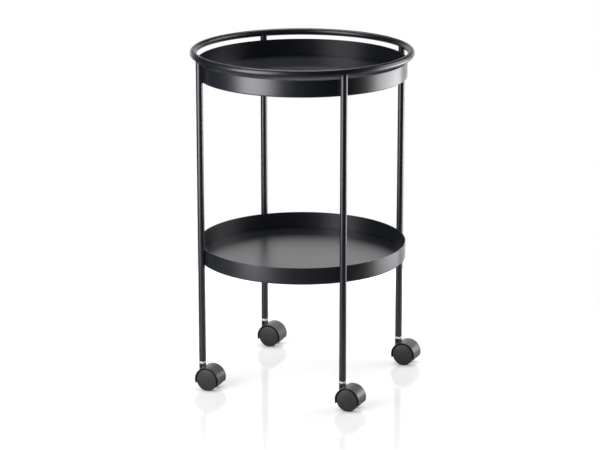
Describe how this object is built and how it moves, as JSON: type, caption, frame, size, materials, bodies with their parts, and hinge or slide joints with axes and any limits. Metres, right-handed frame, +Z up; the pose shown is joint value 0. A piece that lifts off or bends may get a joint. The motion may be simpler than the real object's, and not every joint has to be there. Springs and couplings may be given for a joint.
{
  "type": "serving cart",
  "caption": "Round serving cart on swivelling twin-wheel casters: an upper and a lower sheet tray held inside slim tube legs, with a ring rail round the top as its handle.",
  "frame": {"origin": "on the floor, under the centre of the trays and the ring rail", "axes": "+Z up along the trays' common axis; the legs stand on the diagonals of X and Y; the casters are stored trailing along +X, with their axles along Y"},
  "size_m": [0.4199, 0.42, 0.642],
  "materials": {
    "powder_coat": "satin black powder coat",
    "plug_plastic": "black moulded plastic",
    "plated_steel": "bright zinc plate",
    "spring_steel": "plain turned or stamped steel",
    "hood_plastic": "black moulded plastic, low gloss",
    "wheel_plastic": "dark grey moulded plastic"
  },
  "bodies": {
    "frame": {"rail_ring": "powder_coat", "upper_tray": "powder_coat", "lower_tray": "powder_coat", "front_left_leg": "powder_coat", "front_left_leg_plug": "plug_plastic", "front_left_caster_stem": "plated_steel", "front_left_stem_clip": "spring_steel", "front_right_leg": "powder_coat", "front_right_leg_plug": "plug_plastic", "front_right_caster_stem": "plated_steel", "front_right_stem_clip": "spring_steel", "rear_right_leg": "powder_coat", "rear_right_leg_plug": "plug_plastic", "rear_right_caster_stem": "plated_steel", "rear_right_stem_clip": "spring_steel", "rear_left_leg": "powder_coat", "rear_left_leg_plug": "plug_plastic", "rear_left_caster_stem": "plated_steel", "rear_left_stem_clip": "spring_steel"},
    "front_left_caster": {"front_left_caster_hood": "hood_plastic", "front_left_caster_axle": "spring_steel"},
    "front_left_near_wheel": {"front_left_near_wheel": "wheel_plastic"},
    "front_left_far_wheel": {"front_left_far_wheel": "wheel_plastic"},
    "front_right_caster": {"front_right_caster_hood": "hood_plastic", "front_right_caster_axle": "spring_steel"},
    "front_right_near_wheel": {"front_right_near_wheel": "wheel_plastic"},
    "front_right_far_wheel": {"front_right_far_wheel": "wheel_plastic"},
    "rear_right_caster": {"rear_right_caster_hood": "hood_plastic", "rear_right_caster_axle": "spring_steel"},
    "rear_right_near_wheel": {"rear_right_near_wheel": "wheel_plastic"},
    "rear_right_far_wheel": {"rear_right_far_wheel": "wheel_plastic"},
    "rear_left_caster": {"rear_left_caster_hood": "hood_plastic", "rear_left_caster_axle": "spring_steel"},
    "rear_left_near_wheel": {"rear_left_near_wheel": "wheel_plastic"},
    "rear_left_far_wheel": {"rear_left_far_wheel": "wheel_plastic"}
  },
  "joints": [
    {"name": "front_left_swivel", "type": "hinge", "parent": "frame", "child": "front_left_caster", "pos_m": [-0.1439, -0.1439, 0.03], "axis": [0, 0, 1], "continuous": true},
    {"name": "front_left_near_wheel_spin", "type": "hinge", "parent": "front_left_caster", "child": "front_left_near_wheel", "pos_m": [-0.1279, -0.1559, 0.021], "axis": [0, 1, 0], "continuous": true},
    {"name": "front_left_far_wheel_spin", "type": "hinge", "parent": "front_left_caster", "child": "front_left_far_wheel", "pos_m": [-0.1279, -0.1319, 0.021], "axis": [0, 1, 0], "continuous": true},
    {"name": "front_right_swivel", "type": "hinge", "parent": "frame", "child": "front_right_caster", "pos_m": [0.1439, -0.1439, 0.03], "axis": [0, 0, 1], "continuous": true},
    {"name": "front_right_near_wheel_spin", "type": "hinge", "parent": "front_right_caster", "child": "front_right_near_wheel", "pos_m": [0.1599, -0.1559, 0.021], "axis": [0, 1, 0], "continuous": true},
    {"name": "front_right_far_wheel_spin", "type": "hinge", "parent": "front_right_caster", "child": "front_right_far_wheel", "pos_m": [0.1599, -0.1319, 0.021], "axis": [0, 1, 0], "continuous": true},
    {"name": "rear_right_swivel", "type": "hinge", "parent": "frame", "child": "rear_right_caster", "pos_m": [0.1439, 0.1439, 0.03], "axis": [0, 0, 1], "continuous": true},
    {"name": "rear_right_near_wheel_spin", "type": "hinge", "parent": "rear_right_caster", "child": "rear_right_near_wheel", "pos_m": [0.1599, 0.1319, 0.021], "axis": [0, 1, 0], "continuous": true},
    {"name": "rear_right_far_wheel_spin", "type": "hinge", "parent": "rear_right_caster", "child": "rear_right_far_wheel", "pos_m": [0.1599, 0.1559, 0.021], "axis": [0, 1, 0], "continuous": true},
    {"name": "rear_left_swivel", "type": "hinge", "parent": "frame", "child": "rear_left_caster", "pos_m": [-0.1439, 0.1439, 0.03], "axis": [0, 0, 1], "continuous": true},
    {"name": "rear_left_near_wheel_spin", "type": "hinge", "parent": "rear_left_caster", "child": "rear_left_near_wheel", "pos_m": [-0.1279, 0.1319, 0.021], "axis": [0, 1, 0], "continuous": true},
    {"name": "rear_left_far_wheel_spin", "type": "hinge", "parent": "rear_left_caster", "child": "rear_left_far_wheel", "pos_m": [-0.1279, 0.1559, 0.021], "axis": [0, 1, 0], "continuous": true}
  ]
}
